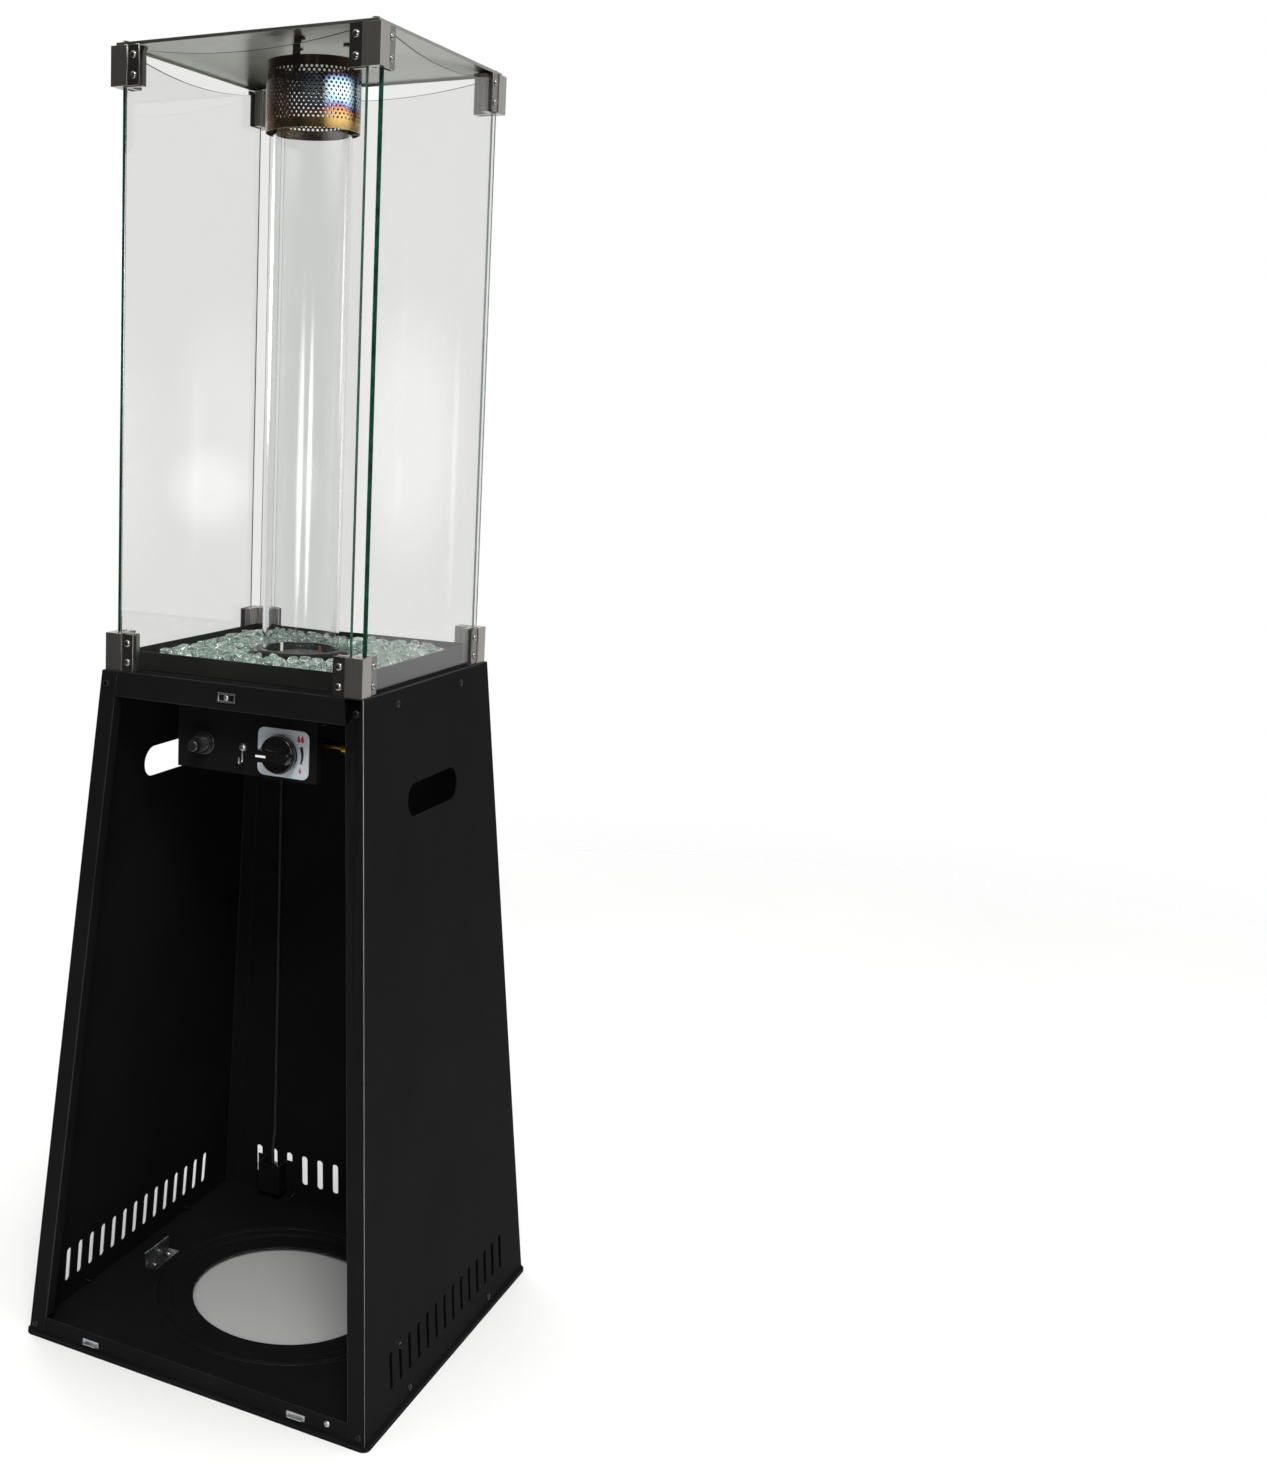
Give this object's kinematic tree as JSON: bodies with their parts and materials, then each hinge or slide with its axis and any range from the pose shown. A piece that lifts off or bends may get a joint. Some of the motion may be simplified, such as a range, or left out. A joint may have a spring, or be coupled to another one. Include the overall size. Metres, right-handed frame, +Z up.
{
  "type": "patio heater",
  "caption": "Free-standing gas patio heater: tapered sheet-steel cabinet with an open front, and above it a square glass lantern with a flame tube, a pebble tray and a steel roof plate.",
  "frame": {"origin": "on the floor under the centre of the base plate", "axes": "+Z up, +X to the right seen from the open front, +Y to the back"},
  "size_m": [0.427, 0.427, 1.4115],
  "materials": {
    "black_powder_coat": "satin black powder coat on sheet steel",
    "zinc_plated_steel": "bright zinc plate",
    "clamp_aluminium": "extruded, satin anodised",
    "stainless_steel": "brushed stainless sheet",
    "heat_tinted_steel": "stainless sheet with brown, purple, blue and straw heat tint",
    "pane_glass": "clear float glass with green edges",
    "tube_glass": "clear heat-proof glass",
    "pebble_glass": "clear green-tinted tumbled glass",
    "soft_pad": "matt black rubber",
    "black_plastic": "moulded, fine satin",
    "white_print": "white inlay",
    "bezel_print": "pale silver plate with printed flame marks",
    "valve_brass": "plain turned brass",
    "electrode_ceramic": "white glazed ceramic sleeve"
  },
  "bodies": {
    "heater": {"base_plate": "black_powder_coat", "left_side_panel": "black_powder_coat", "right_side_panel": "black_powder_coat", "back_panel": "black_powder_coat", "front_crossbar": "black_powder_coat", "front_sill": "black_powder_coat", "top_deck": "black_powder_coat", "panel_screws": "black_powder_coat", "sill_screw": "zinc_plated_steel", "door_clips": "zinc_plated_steel", "door_catch": "zinc_plated_steel", "door_catch_screw": "zinc_plated_steel", "floor_brackets": "zinc_plated_steel", "bracket_screws": "zinc_plated_steel", "tip_switch": "black_plastic", "tip_switch_guard": "black_powder_coat", "tip_switch_lead": "soft_pad", "fire_tray": "black_powder_coat", "glass_pebbles": "pebble_glass", "burner_cup": "black_powder_coat", "burner_head": "stainless_steel", "flame_tube": "tube_glass", "tube_collar": "heat_tinted_steel", "collar_legs": "heat_tinted_steel", "roof_plate": "stainless_steel", "roof_screws": "zinc_plated_steel", "front_glass": "pane_glass", "right_glass": "pane_glass", "back_glass": "pane_glass", "left_glass": "pane_glass", "glass_pads": "soft_pad", "lower_clamps": "clamp_aluminium", "upper_clamps": "clamp_aluminium", "clamp_screws": "zinc_plated_steel", "deck_screws": "zinc_plated_steel", "control_panel": "black_powder_coat", "bezel_plate": "bezel_print", "gas_valve": "valve_brass", "gas_inlet": "valve_brass", "gas_pipe": "valve_brass", "mixing_tube": "zinc_plated_steel", "thermocouple": "valve_brass", "ignition_electrode": "electrode_ceramic", "igniter_lead": "soft_pad", "igniter_body": "black_plastic", "igniter_nut": "black_plastic", "utility_hook": "zinc_plated_steel", "hook_screw": "zinc_plated_steel"},
    "push_washer": {"stem_washer": "zinc_plated_steel"},
    "knob": {"control_knob": "black_plastic", "knob_pointer": "white_print", "valve_stem": "zinc_plated_steel"},
    "igniter_button": {"igniter_button": "black_plastic"}
  },
  "joints": [
    {"name": "knob_push", "type": "slide", "parent": "heater", "child": "push_washer", "axis": [0, 1, 0], "range_m": [0, 0.004], "stiffness_N_per_m": 1500, "springref_m": -0.003},
    {"name": "knob_turn", "type": "hinge", "parent": "push_washer", "child": "knob", "pos_m": [0.046, -0.123, 0.674], "axis": [0, -1, 0], "range_deg": [0, 225]},
    {"name": "igniter_push", "type": "slide", "parent": "heater", "child": "igniter_button", "axis": [0, 1, 0], "range_m": [0, 0.006], "stiffness_N_per_m": 1500, "springref_m": -0.004}
  ]
}
